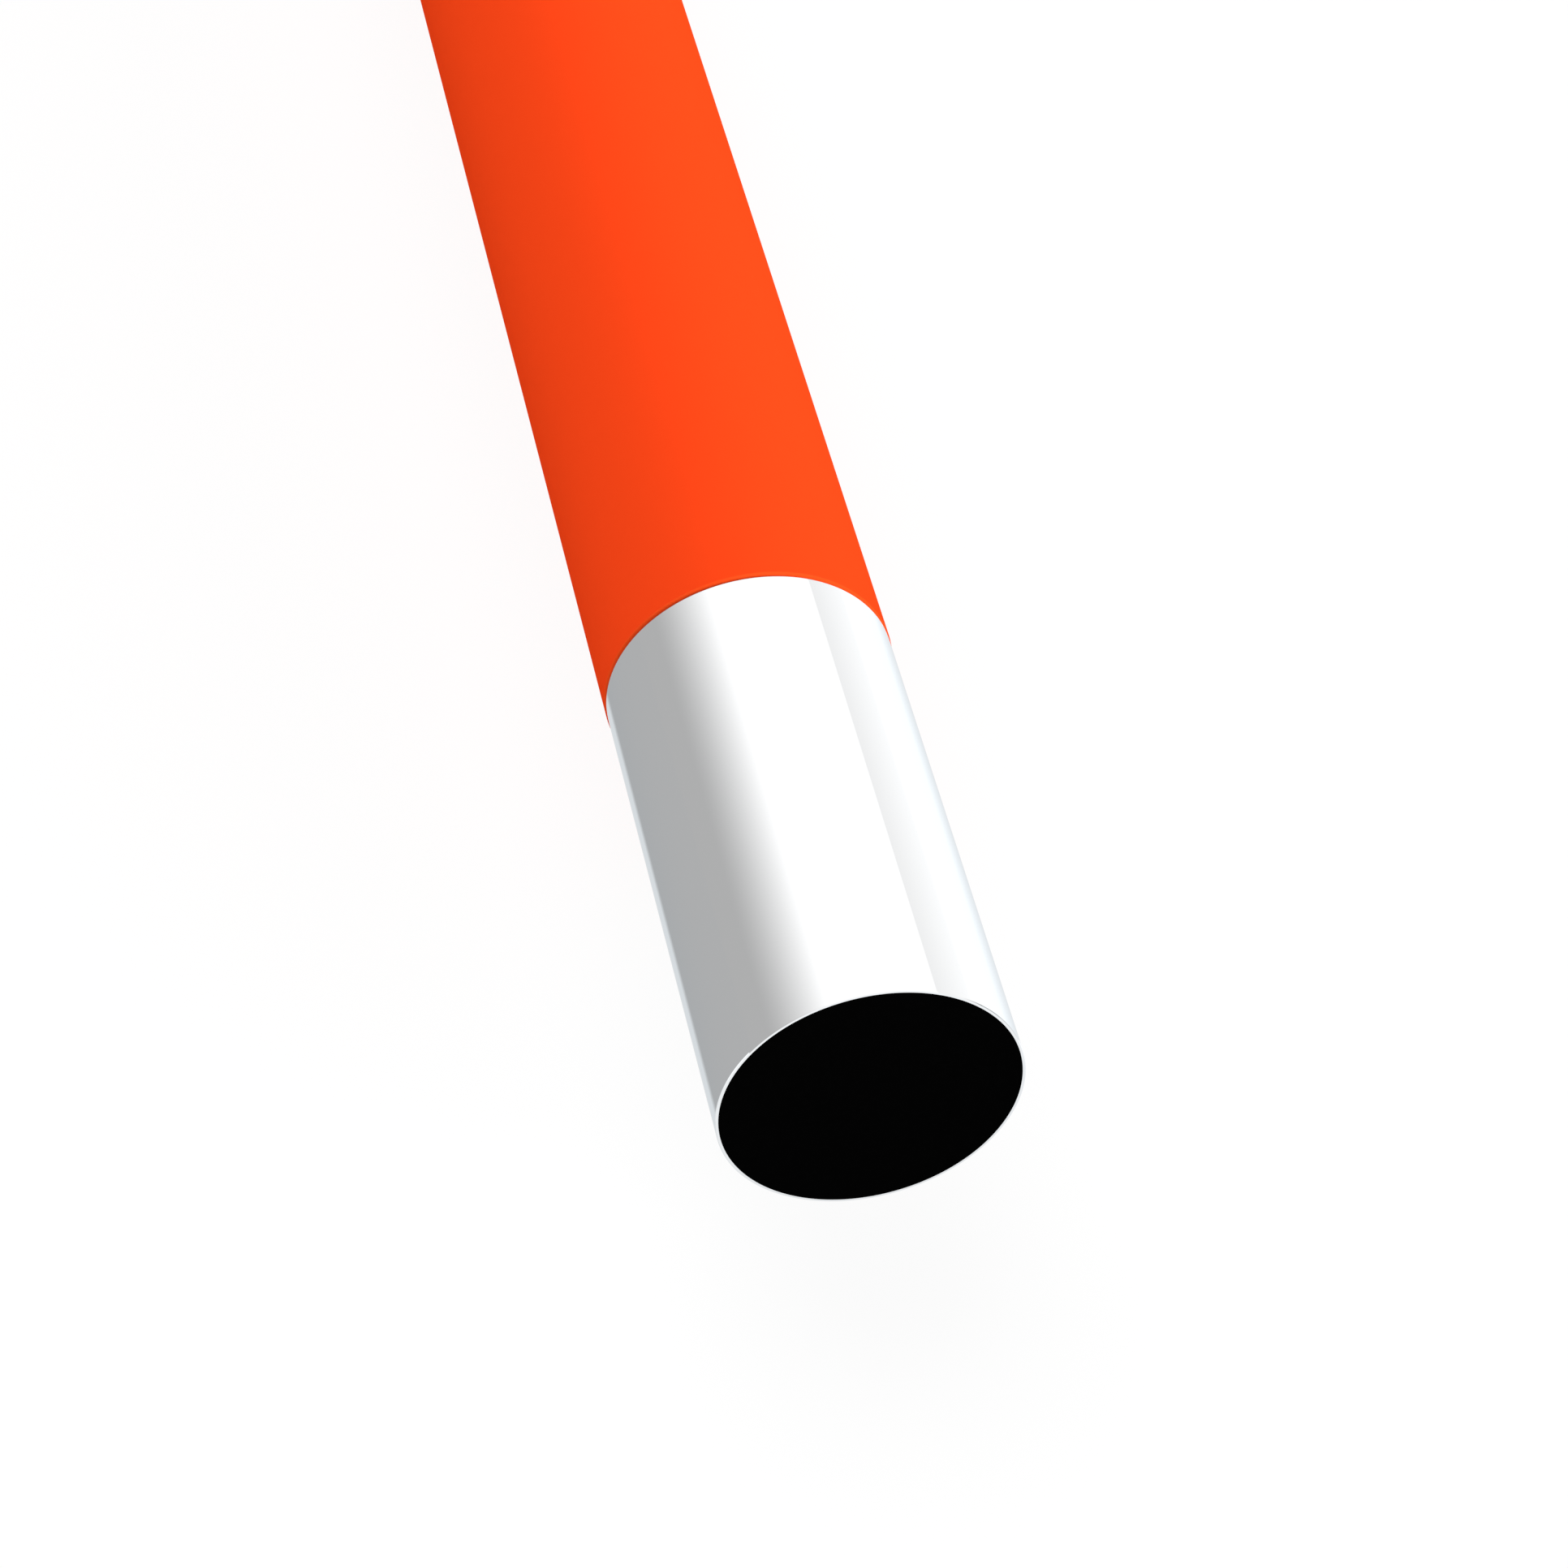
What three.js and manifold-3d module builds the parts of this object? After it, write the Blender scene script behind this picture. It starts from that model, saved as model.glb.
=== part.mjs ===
// A telescoping white cane in four sections, laid along +X with +Z up, in millimetres.
// The origin is the centre of the tip's end face, and the flat of the grip faces down.
// Each section slides into the next one and is held there by a twist lock: a slotted sleeve that
// a threaded cone spreads against the bore of the outer tube.
import * as THREE from 'three';
import { mergeVertices } from 'three/addons/utils/BufferGeometryUtils.js';
import Module from 'manifold-3d';

const wasm = await Module();
wasm.setup();

// Lengths along the cane, from collar face to collar face
const lowerShow = 300;
const middleShow = 285;
const upperShow = 285;
const handleShow = 380;
const overlap = 70;

// Tubes
const lowerRadius = 6.5;
const wall = 0.8;
const sleeveThickness = 0.17;

// Clearances
const bondGap = 0.03;
const fitGap = 0.1;
const runningGap = 0.2;
const seatGap = 0.2;
const keyGap = 0.3;

// Tip
const ferruleShow = 24.24;
const ferruleInset = 0.045;
const frontRing = 0.12;
const frontBevel = 0.03;
const edgeBevel = 0.15;
const spigotLength = 20;
const spigotChamfer = 0.8;
const stemRadius = 3.1;
const stemLength = 14;
const stemChamfer = 0.6;
const sealWidth = 2;
const sealDepth = 0.9;
const sealSetback = 6;

// Collars at the mouths of the tubes
const collarLip = 5;
const collarLength = 27;
const collarThickness = 1.3;
const collarChamfer = 0.7;
const collarTaper = 6;
const fluteCount = 16;
const fluteRadius = 1.2;
const fluteDepth = 0.5;
const fluteMargin = 2.5;
const wiperWidth = 1.6;
const wiperDepth = 0.7;

// Twist locks
const plugDepth = 14;
const plugFlange = 2;
const studRadius = 3;
const threadPitch = 1.25;
const unlockTurns = 1;
const expanderLength = 16;
const expanderChamfer = 0.5;
const expanderLip = 0.9;
const slotDepth = 12;
const slotWidth = 2.2;
const taperLength = 8;
const taperDrop = 1.4;
const coneHead = 2;
const keyInset = 0.4;
const clipThickness = 0.8;
const clipWidth = 1.8;
const clipBite = 0.6;
const clipMouth = 3.4;
const studEnd = 1.2;
const studChamfer = 0.5;

// Handle
const gripLength = 230;
const gripFrontRadius = 12.4;
const gripBackRadius = 13.6;
const gripRound = 1.2;
const gripFlatDrop = 11.2;
const grooveCount = 3;
const groovePitch = 4;
const grooveWidth = 1.4;
const grooveDepth = 0.6;
const grooveMargin = 7;
const ringLength = 9;
const ringFrontThickness = 0.9;
const ringBackThickness = 1.5;
const capHeight = 18;
const capRadius = 14;
const capRim = 4;
const capTopRadius = 10;
const capRound = 1.5;
const capSpigotLength = 20;
const eyeBridge = 4.5;
const eyeLength = 6;
const eyeHeight = 12;
const pinRadius = 1.5;
const pinSetback = 10;

// Fineness of the round shapes, and how far a cutting solid reaches past what it cuts
const facets = 32;
const smallFacets = 16;
const fluteFacets = 8;
const cutOverrun = 1;
const weldDistance = 0.0001;

// Finishes
const blackNylon = { color: 0x08080a, roughness: 0.55, metalness: 0 };
const polishedMetal = { color: 0xdadddf, roughness: 0.06, metalness: 1 };
const orangeFilm = { color: 0xff4818, roughness: 0.3, metalness: 0 };
const bareAluminium = { color: 0xb8bbbe, roughness: 0.4, metalness: 1 };
const whitePaint = { color: 0xf1f1ed, roughness: 0.3, metalness: 0 };
const collarPlastic = { color: 0x1d1e20, roughness: 0.5, metalness: 0 };
const sealRubber = { color: 0x141414, roughness: 0.8, metalness: 0 };
const naturalNylon = { color: 0xe4ddc9, roughness: 0.5, metalness: 0 };
const zincSteel = { color: 0xa9acb0, roughness: 0.35, metalness: 1 };
const turnedBrass = { color: 0xc59a4a, roughness: 0.3, metalness: 1 };
const gripRubber = { color: 0x191a1b, roughness: 0.85, metalness: 0 };

// Radii of the tubes, each one running in the next
const lowerTubeRadius = lowerRadius - sleeveThickness - bondGap;
const lowerMiddleBore = lowerRadius + runningGap;
const lowerMiddleRadius = lowerMiddleBore + wall;
const upperMiddleBore = lowerMiddleRadius + runningGap;
const upperMiddleRadius = upperMiddleBore + wall;
const handleBore = upperMiddleRadius + runningGap;
const handleRadius = handleBore + wall;

// Places along the cane
const lowerCollarFace = lowerShow;
const middleCollarFace = lowerCollarFace + middleShow;
const upperCollarFace = middleCollarFace + upperShow;
const caneEnd = upperCollarFace + handleShow;
const handleTop = caneEnd - capHeight;
const gripStart = handleTop - gripLength;

const cane = new THREE.Group();

function addPiece(name, geometry, finish) {
  const mesh = new THREE.Mesh(geometry, new THREE.MeshStandardMaterial(finish));
  mesh.name = name;
  cane.add(mesh);
}

// A section turned about the cane's axis. Its points are [place along the cane, radius]. It starts
// and ends on the axis, or else it closes on itself.
function turned(section, sides = facets) {
  const outline = section.map(([along, radius]) => new THREE.Vector2(radius, along));
  if (THREE.ShapeUtils.area(outline) < 0) outline.reverse();
  if (outline.every((point) => point.x > 0)) outline.push(outline[0].clone());
  return new THREE.LatheGeometry(outline, sides).rotateZ(-Math.PI / 2);
}

function tube(start, end, bore, radius) {
  return turned([[start, bore], [start, radius], [end, radius], [end, bore]]);
}

// A block that spans start to end along the cane and lies evenly about the axis
function block(start, end, width, height) {
  return new THREE.BoxGeometry(end - start, width, height).translate((start + end) / 2, 0, 0);
}

// Joining and cutting of closed geometries
function solidOf(geometry) {
  const bare = geometry.clone();
  bare.deleteAttribute('normal');
  bare.deleteAttribute('uv');
  const welded = mergeVertices(bare, weldDistance);
  const corners = welded.index.array;
  const faces = [];
  for (let i = 0; i < corners.length; i += 3) {
    const [a, b, c] = corners.slice(i, i + 3);
    if (a !== b && b !== c && c !== a) faces.push(a, b, c);
  }
  return new wasm.Manifold(new wasm.Mesh({
    numProp: 3,
    vertProperties: Float32Array.from(welded.attributes.position.array),
    triVerts: Uint32Array.from(faces),
  }));
}

function geometryOf(solid) {
  const mesh = solid.getMesh();
  const geometry = new THREE.BufferGeometry();
  geometry.setAttribute('position', new THREE.Float32BufferAttribute(mesh.vertProperties, 3));
  geometry.setIndex(Array.from(mesh.triVerts));
  geometry.computeVertexNormals();
  return geometry;
}

function cut(geometry, ...tools) {
  return geometryOf(tools.reduce((solid, tool) => solid.subtract(solidOf(tool)), solidOf(geometry)));
}

function join(geometry, other) {
  return geometryOf(solidOf(geometry).add(solidOf(other)));
}

// Tip: a polished ferrule whose end is countersunk but for a thin front ring, and a black plug in it
function makeTip() {
  const ferruleRadius = lowerRadius - ferruleInset;
  const seatRadius = ferruleRadius - frontRing;
  const stemBore = stemRadius + fitGap;
  const headDepth = seatRadius - stemBore;
  const tubeBore = lowerTubeRadius - wall;
  const spigotRadius = tubeBore - fitGap;
  const spigotEnd = ferruleShow + spigotLength;
  const grooveStart = ferruleShow + sealSetback;
  const grooveEnd = grooveStart + sealWidth + 2 * fitGap;
  const grooveRadius = spigotRadius - sealDepth;
  addPiece('tip_ferrule', turned([
    [0, seatRadius],
    [0, ferruleRadius - frontBevel],
    [frontBevel, ferruleRadius],
    [ferruleShow - edgeBevel, ferruleRadius],
    [ferruleShow, ferruleRadius - edgeBevel],
    [ferruleShow, spigotRadius],
    [grooveStart, spigotRadius],
    [grooveStart, grooveRadius],
    [grooveEnd, grooveRadius],
    [grooveEnd, spigotRadius],
    [spigotEnd - spigotChamfer, spigotRadius],
    [spigotEnd, spigotRadius - spigotChamfer],
    [spigotEnd, stemBore],
    [headDepth, stemBore],
  ]), polishedMetal);
  addPiece('tip_plug', turned([
    [0, 0],
    [0, seatRadius - bondGap],
    [headDepth, stemRadius],
    [stemLength - stemChamfer, stemRadius],
    [stemLength, stemRadius - stemChamfer],
    [stemLength, 0],
  ]), blackNylon);
  const sealStart = grooveStart + fitGap;
  addPiece('tip_seal', tube(sealStart, sealStart + sealWidth, grooveRadius + fitGap, spigotRadius),
    sealRubber);
}

function makeLowerSection() {
  const start = ferruleShow + seatGap;
  const end = lowerCollarFace + overlap;
  const sleeveBore = lowerTubeRadius + bondGap;
  addPiece('lower_tube', tube(start, end, lowerTubeRadius - wall, lowerTubeRadius), bareAluminium);
  addPiece('orange_sleeve', turned([
    [start, sleeveBore],
    [start, lowerRadius - edgeBevel],
    [start + edgeBevel, lowerRadius],
    [end, lowerRadius],
    [end, sleeveBore],
  ]), orangeFilm);
}

// One of the shallow flutes round a collar, cut by a thin bar that lies along the collar
function fluteBar(start, end, radius, turn) {
  return new THREE.CylinderGeometry(fluteRadius, fluteRadius, end - start, fluteFacets)
    .rotateZ(-Math.PI / 2)
    .translate((start + end) / 2, 0, radius + fluteRadius - fluteDepth)
    .rotateX(turn);
}

// A fluted collar on the mouth of a tube, with a wiper ring round the section that slides in it
function makeCollar(name, face, slidingRadius, tubeRadius) {
  const guideBore = slidingRadius + runningGap;
  const lipEnd = face + collarLip;
  const end = face + collarLength;
  const radius = tubeRadius + collarThickness;
  const socketBore = tubeRadius + fitGap;
  const grooveStart = face + (collarLip - wiperWidth) / 2;
  const grooveEnd = grooveStart + wiperWidth;
  const grooveRadius = guideBore + wiperDepth;
  const collar = turned([
    [face, guideBore],
    [face, radius - collarChamfer],
    [face + collarChamfer, radius],
    [end - collarTaper, radius],
    [end, socketBore + fitGap],
    [end, socketBore],
    [lipEnd, socketBore],
    [lipEnd, guideBore],
    [grooveEnd, guideBore],
    [grooveEnd, grooveRadius],
    [grooveStart, grooveRadius],
    [grooveStart, guideBore],
  ]);
  const fluteStart = face + fluteMargin;
  const fluteEnd = end - collarTaper - fluteMargin;
  const flutes = Array.from({ length: fluteCount }, (_, i) => (
    fluteBar(fluteStart, fluteEnd, radius, (2 * Math.PI * i) / fluteCount)
  ));
  addPiece(`${name}_collar`, cut(collar, ...flutes), collarPlastic);
  addPiece(`${name}_wiper`, tube(
    grooveStart + fitGap,
    grooveEnd - fitGap,
    slidingRadius + fitGap,
    grooveRadius - fitGap,
  ), sealRubber);
}

function makeMiddleTube(name, collarFace, nextCollarFace, radius) {
  const start = collarFace + collarLip + seatGap;
  addPiece(name, tube(start, nextCollarFace + overlap, radius - wall, radius), whitePaint);
}

// The lock at the top of a section: its plug and stud turn with the inner tube, while the slotted
// sleeve stays in the outer tube and the keyed cone runs along the thread
function makeLock(name, tubeTop, tubeRadius, outerBore) {
  const studHole = studRadius + fitGap;
  const flangeStart = tubeTop + seatGap;
  const flangeEnd = flangeStart + plugFlange;
  const plugRadius = tubeRadius - wall - fitGap;
  const plugStart = tubeTop - plugDepth;
  addPiece(`${name}_end_plug`, turned([
    [plugStart, studHole],
    [plugStart, plugRadius],
    [flangeStart, plugRadius],
    [flangeStart, tubeRadius],
    [flangeEnd, tubeRadius],
    [flangeEnd, studHole],
  ]), naturalNylon);

  const sleeveStart = flangeEnd + seatGap;
  const sleeveEnd = sleeveStart + expanderLength;
  const sleeveRadius = outerBore - fitGap;
  const sleeveBore = studRadius + runningGap;
  const taperStart = sleeveEnd - taperLength;
  const mouthRadius = sleeveRadius - expanderLip;
  const throatRadius = mouthRadius - taperDrop;
  const slotStart = sleeveEnd - slotDepth;
  const slotEnd = sleeveEnd + cutOverrun;
  const slotSpan = 2 * (sleeveRadius + cutOverrun);
  addPiece(`${name}_expander`, cut(
    turned([
      [sleeveStart, sleeveBore],
      [sleeveStart, sleeveRadius - expanderChamfer],
      [sleeveStart + expanderChamfer, sleeveRadius],
      [sleeveEnd - expanderChamfer, sleeveRadius],
      [sleeveEnd, sleeveRadius - expanderChamfer],
      [sleeveEnd, mouthRadius],
      [taperStart, throatRadius],
      [taperStart, sleeveBore],
    ]),
    block(slotStart, slotEnd, slotWidth, slotSpan),
    block(slotStart, slotEnd, slotSpan, slotWidth),
  ), naturalNylon);

  const coneStart = taperStart + seatGap;
  const coneEnd = coneStart + taperLength + coneHead;
  const coneRadius = mouthRadius - seatGap;
  const keyWidth = slotWidth - 2 * keyGap;
  const keySpan = 2 * (sleeveRadius - keyInset);
  addPiece(`${name}_lock_cone`, cut(
    join(
      turned([
        [coneStart, 0],
        [coneStart, throatRadius - seatGap],
        [coneStart + taperLength, coneRadius],
        [coneEnd, coneRadius],
        [coneEnd, 0],
      ]),
      block(coneStart, sleeveEnd, keyWidth, keySpan),
    ),
    turned([
      [coneStart - cutOverrun, 0],
      [coneStart - cutOverrun, studHole],
      [coneEnd + cutOverrun, studHole],
      [coneEnd + cutOverrun, 0],
    ]),
  ), turnedBrass);

  const clipStart = coneEnd + threadPitch * unlockTurns + seatGap;
  const clipEnd = clipStart + clipThickness;
  const clipBore = studRadius - clipBite;
  const grooveRadius = clipBore - fitGap;
  const studTop = clipEnd + fitGap + studEnd;
  addPiece(`${name}_stud_clip`, cut(
    tube(clipStart, clipEnd, clipBore, clipBore + clipWidth),
    new THREE.BoxGeometry(clipThickness + cutOverrun, clipMouth, clipBore + clipWidth + cutOverrun)
      .translate((clipStart + clipEnd) / 2, 0, (clipBore + clipWidth + cutOverrun) / 2),
  ), zincSteel);
  addPiece(`${name}_lock_stud`, turned([
    [plugStart, 0],
    [plugStart, studRadius],
    [clipStart - fitGap, studRadius],
    [clipStart - fitGap, grooveRadius],
    [clipEnd + fitGap, grooveRadius],
    [clipEnd + fitGap, studRadius],
    [studTop - studChamfer, studRadius],
    [studTop, studRadius - studChamfer],
    [studTop, 0],
  ]), zincSteel);
}

// Cuts what lies below the grip's flat
function withFlat(geometry, start, end) {
  const depth = gripBackRadius + capRadius;
  const below = new THREE.BoxGeometry(end - start + 2 * cutOverrun, 2 * depth, depth)
    .translate((start + end) / 2, 0, -gripFlatDrop - depth / 2);
  return cut(geometry, below);
}

function crossPin(radius, length) {
  return new THREE.CylinderGeometry(radius, radius, length, smallFacets)
    .translate(handleTop - pinSetback, 0, 0);
}

// The outline of the grip's outside between its rounded ends: a taper with ring grooves near them
function gripOutline() {
  const start = gripStart + gripRound;
  const end = handleTop - gripRound;
  const rise = (gripBackRadius - gripFrontRadius) / (end - start);
  const radiusAt = (along) => gripFrontRadius + rise * (along - start);
  const grooveStarts = [];
  for (let i = 0; i < grooveCount; i += 1) {
    grooveStarts.push(gripStart + grooveMargin + i * groovePitch);
    grooveStarts.push(handleTop - grooveMargin - grooveWidth - i * groovePitch);
  }
  grooveStarts.sort((a, b) => a - b);
  const outline = [[start, radiusAt(start)]];
  for (const from of grooveStarts) {
    const to = from + grooveWidth;
    outline.push([from, radiusAt(from)], [from, radiusAt(from) - grooveDepth]);
    outline.push([to, radiusAt(to) - grooveDepth], [to, radiusAt(to)]);
  }
  outline.push([end, radiusAt(end)]);
  return outline;
}

function makeHandle() {
  const tubeStart = upperCollarFace + collarLip + seatGap;
  const pinHole = crossPin(pinRadius + fitGap, 2 * (handleRadius + cutOverrun));
  addPiece('handle_tube', cut(tube(tubeStart, handleTop, handleBore, handleRadius), pinHole),
    whitePaint);
  addPiece('cap_pin', crossPin(pinRadius, 2 * (handleRadius - fitGap)), zincSteel);

  const gripBore = handleRadius + fitGap;
  addPiece('grip', withFlat(turned([
    [gripStart, gripBore],
    [gripStart, gripFrontRadius - gripRound],
    ...gripOutline(),
    [handleTop, gripBackRadius - gripRound],
    [handleTop, gripBore],
  ]), gripStart, handleTop), gripRubber);

  const ringEnd = gripStart - seatGap;
  const ringStart = ringEnd - ringLength;
  addPiece('grip_ring', turned([
    [ringStart, gripBore],
    [ringStart, handleRadius + ringFrontThickness],
    [ringEnd, handleRadius + ringBackThickness],
    [ringEnd, gripBore],
  ]), polishedMetal);

  const rimStart = handleTop + seatGap;
  const rimEnd = rimStart + capRim;
  const spigotStart = handleTop - capSpigotLength;
  const spigotRadius = handleBore - fitGap;
  const eyeEnd = caneEnd - eyeBridge;
  const eye = block(eyeEnd - eyeLength, eyeEnd, 2 * (capRadius + cutOverrun), eyeHeight);
  const cap = turned([
    [spigotStart, 0],
    [spigotStart, spigotRadius - spigotChamfer],
    [spigotStart + spigotChamfer, spigotRadius],
    [rimStart, spigotRadius],
    [rimStart, capRadius],
    [rimEnd, capRadius],
    [caneEnd - capRound, capTopRadius + capRound],
    [caneEnd, capTopRadius],
    [caneEnd, 0],
  ]);
  addPiece('grip_cap', withFlat(cut(cap, eye, pinHole), spigotStart, caneEnd), collarPlastic);
}

makeTip();
makeLowerSection();
makeCollar('lower', lowerCollarFace, lowerRadius, lowerMiddleRadius);
makeMiddleTube('lower_middle_tube', lowerCollarFace, middleCollarFace, lowerMiddleRadius);
makeCollar('middle', middleCollarFace, lowerMiddleRadius, upperMiddleRadius);
makeMiddleTube('upper_middle_tube', middleCollarFace, upperCollarFace, upperMiddleRadius);
makeCollar('upper', upperCollarFace, upperMiddleRadius, handleRadius);
makeLock('lower', lowerCollarFace + overlap, lowerTubeRadius, lowerMiddleBore);
makeLock('middle', middleCollarFace + overlap, lowerMiddleRadius, upperMiddleBore);
makeLock('upper', upperCollarFace + overlap, upperMiddleRadius, handleBore);
makeHandle();

export default cane;
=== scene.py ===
"""White cane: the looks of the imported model, its studio and its camera.

Lengths are in metres. The cane lies along X, with its tip at 0 and its axis at y = z = 0.
"""

import math

import bmesh
import bpy
from bpy.props import FloatProperty, FloatVectorProperty, IntProperty, PointerProperty
from mathutils import Matrix, Vector


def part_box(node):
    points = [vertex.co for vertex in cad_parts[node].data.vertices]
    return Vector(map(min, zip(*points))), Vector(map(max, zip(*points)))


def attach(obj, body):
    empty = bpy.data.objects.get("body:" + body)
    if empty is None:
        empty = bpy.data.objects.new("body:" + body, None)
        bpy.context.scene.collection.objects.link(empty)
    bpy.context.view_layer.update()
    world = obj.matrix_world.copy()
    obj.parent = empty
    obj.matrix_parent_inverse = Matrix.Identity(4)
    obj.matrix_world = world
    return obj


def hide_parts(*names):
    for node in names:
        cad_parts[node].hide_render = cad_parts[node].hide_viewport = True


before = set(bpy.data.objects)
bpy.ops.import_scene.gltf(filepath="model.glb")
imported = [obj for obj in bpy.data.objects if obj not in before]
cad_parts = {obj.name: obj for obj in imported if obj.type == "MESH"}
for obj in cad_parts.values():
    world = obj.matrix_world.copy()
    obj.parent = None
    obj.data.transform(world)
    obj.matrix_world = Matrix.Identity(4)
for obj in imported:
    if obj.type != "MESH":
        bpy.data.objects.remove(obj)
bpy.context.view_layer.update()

bl_info = {
    "name": "White Cane",
    "version": (1, 0, 0),
    "blender": (4, 5, 0),
    "location": "3D View > Sidebar > White Cane",
    "description": "Builds the visible pieces, finishes and studio of a telescoping white cane",
    "category": "Object",
}

START_SIZE = 0.001  # of the plane that an outline's first point is made from
ALONG = (1, 0, 0)
MERGE_GAP = 1e-7
NEAR = 6e-6  # points this close to a place count as being there
GLUE_GAP = 0.00004
FILM_GAP = 0.00002


def radius_of(node):
    """The outer radius of a turned CAD node."""
    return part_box(node)[1].y


def start_of(node):
    """Where a CAD node starts along the cane."""
    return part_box(node)[0].x


def end_of(node):
    """Where a CAD node ends along the cane."""
    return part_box(node)[1].x


FLAT_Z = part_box("grip")[0].z


class CaneSizes(bpy.types.PropertyGroup):
    """Sizes that change how the cane looks without changing its frame."""

    rim_width: FloatProperty(
        name="Bright rim",
        description="Width of the bright metal ring around the black end face",
        default=0.00013, min=0.00005, max=0.0004, precision=5, unit="LENGTH",
    )
    lip_radius: FloatProperty(
        name="Sleeve lip",
        description="Rounding of the orange sleeve's lower lip",
        default=0.00014, min=0.00003, max=0.00017, precision=5, unit="LENGTH",
    )
    steps: IntProperty(
        name="Steps around",
        description="Number of flats in one turn of a round piece",
        default=192, min=48, max=360,
    )
    wall: FloatProperty(
        name="Tube wall",
        description="Thickness of the tubes",
        default=0.0008, min=0.0004, max=0.002, precision=5, unit="LENGTH",
    )
    flutes: IntProperty(
        name="Flutes",
        description="Number of flutes round a collar",
        default=16, min=6, max=30,
    )
    flute_radius: FloatProperty(
        name="Flute radius",
        description="Radius of the flutes' round floor",
        default=0.0012, min=0.0004, max=0.002, precision=5, unit="LENGTH",
    )
    flute_depth: FloatProperty(
        name="Flute depth",
        description="How deep the flutes go",
        default=0.0005, min=0.0001, max=0.0008, precision=5, unit="LENGTH",
    )
    rib_columns: IntProperty(
        name="Rib columns",
        description="Number of rib places round the grip",
        default=64, min=24, max=120,
    )
    rib_length: FloatProperty(
        name="Rib length",
        description="Length of one rib place along the grip",
        default=0.0032, min=0.0015, max=0.01, precision=5, unit="LENGTH",
    )
    rib_height: FloatProperty(
        name="Rib height",
        description="How far a rib stands out, and the width of its slope",
        default=0.0002, min=0.00005, max=0.0004, precision=5, unit="LENGTH",
    )


class CaneColours(bpy.types.PropertyGroup):
    """Colours of the finishes."""

    orange: FloatVectorProperty(
        name="Orange",
        description="Colour of the lower section's film",
        default=(1.0, 0.0635, 0.0098), subtype="COLOR", min=0, max=1,
    )
    white: FloatVectorProperty(
        name="White",
        description="Colour of the painted sections",
        default=(0.64, 0.64, 0.628), subtype="COLOR", min=0, max=1,
    )
    black: FloatVectorProperty(
        name="End black",
        description="Colour of the flat end face",
        default=(0.0006, 0.0006, 0.0006), subtype="COLOR", min=0, max=1,
    )
    chrome: FloatVectorProperty(
        name="Polished metal",
        description="Colour of the bare ferrule and the grip's ring",
        default=(0.95, 0.955, 0.96), subtype="COLOR", min=0, max=1,
    )


class StudioSettings(bpy.types.PropertyGroup):
    """The camera's place and the studio's lamps."""

    lens: FloatProperty(
        name="Lens",
        description="Focal length on a 36 mm wide sensor, in millimetres",
        default=104.39, min=20, max=300,
    )
    pitch: FloatProperty(
        name="Camera pitch",
        description="How far the camera looks down",
        default=math.radians(46.05), subtype="ANGLE",
    )
    heading: FloatProperty(
        name="Camera heading",
        description="How far the camera looks to the right of the cane's length",
        default=math.radians(11.93), subtype="ANGLE",
    )
    room_light: FloatProperty(
        name="Room light",
        description="Even light from all round",
        default=0.41, min=0, max=2,
    )
    top_light: FloatProperty(
        name="Top light",
        description="Strength of the wide lamp overhead",
        default=0.55, min=0, max=5,
    )
    side_light: FloatProperty(
        name="Side light",
        description="Strength of the wide lamp at the camera's right",
        default=1.12, min=0, max=5,
    )
    lamp_spread: FloatProperty(
        name="Lamp spread",
        description="How wide each lamp looks from the cane, which softens its shading",
        default=math.radians(50), min=0, max=math.pi, subtype="ANGLE",
    )
    shadow_share: FloatProperty(
        name="Floor shadow",
        description="How much of the lamps' shadow the white floor keeps",
        default=0.10, min=0, max=1, subtype="FACTOR",
    )


# Modelling


def only(piece):
    """Selects one object and makes it active."""
    bpy.ops.object.select_all(action="DESELECT")
    piece.select_set(True)
    bpy.context.view_layer.objects.active = piece


def place_applied(piece):
    """Leaves the object at the origin, with its place in its mesh."""
    only(piece)
    bpy.ops.object.transform_apply(location=True, rotation=True, scale=True)


def pick(piece, kind, wanted):
    """In edit mode, selects only the vertices, edges or faces that pass a test, and gives their number."""
    bpy.ops.mesh.select_mode(type=kind)
    bpy.ops.mesh.select_all(action="DESELECT")
    mesh = bmesh.from_edit_mesh(piece.data)
    parts = {"VERT": mesh.verts, "EDGE": mesh.edges, "FACE": mesh.faces}[kind]
    chosen = [part for part in parts if wanted(part)]
    for part in chosen:
        part.select_set(True)
    mesh.select_flush_mode()
    bmesh.update_edit_mesh(piece.data)
    return len(chosen)


def across(point):
    """A point's distance from the cane's axis."""
    return math.hypot(point.y, point.z)


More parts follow.
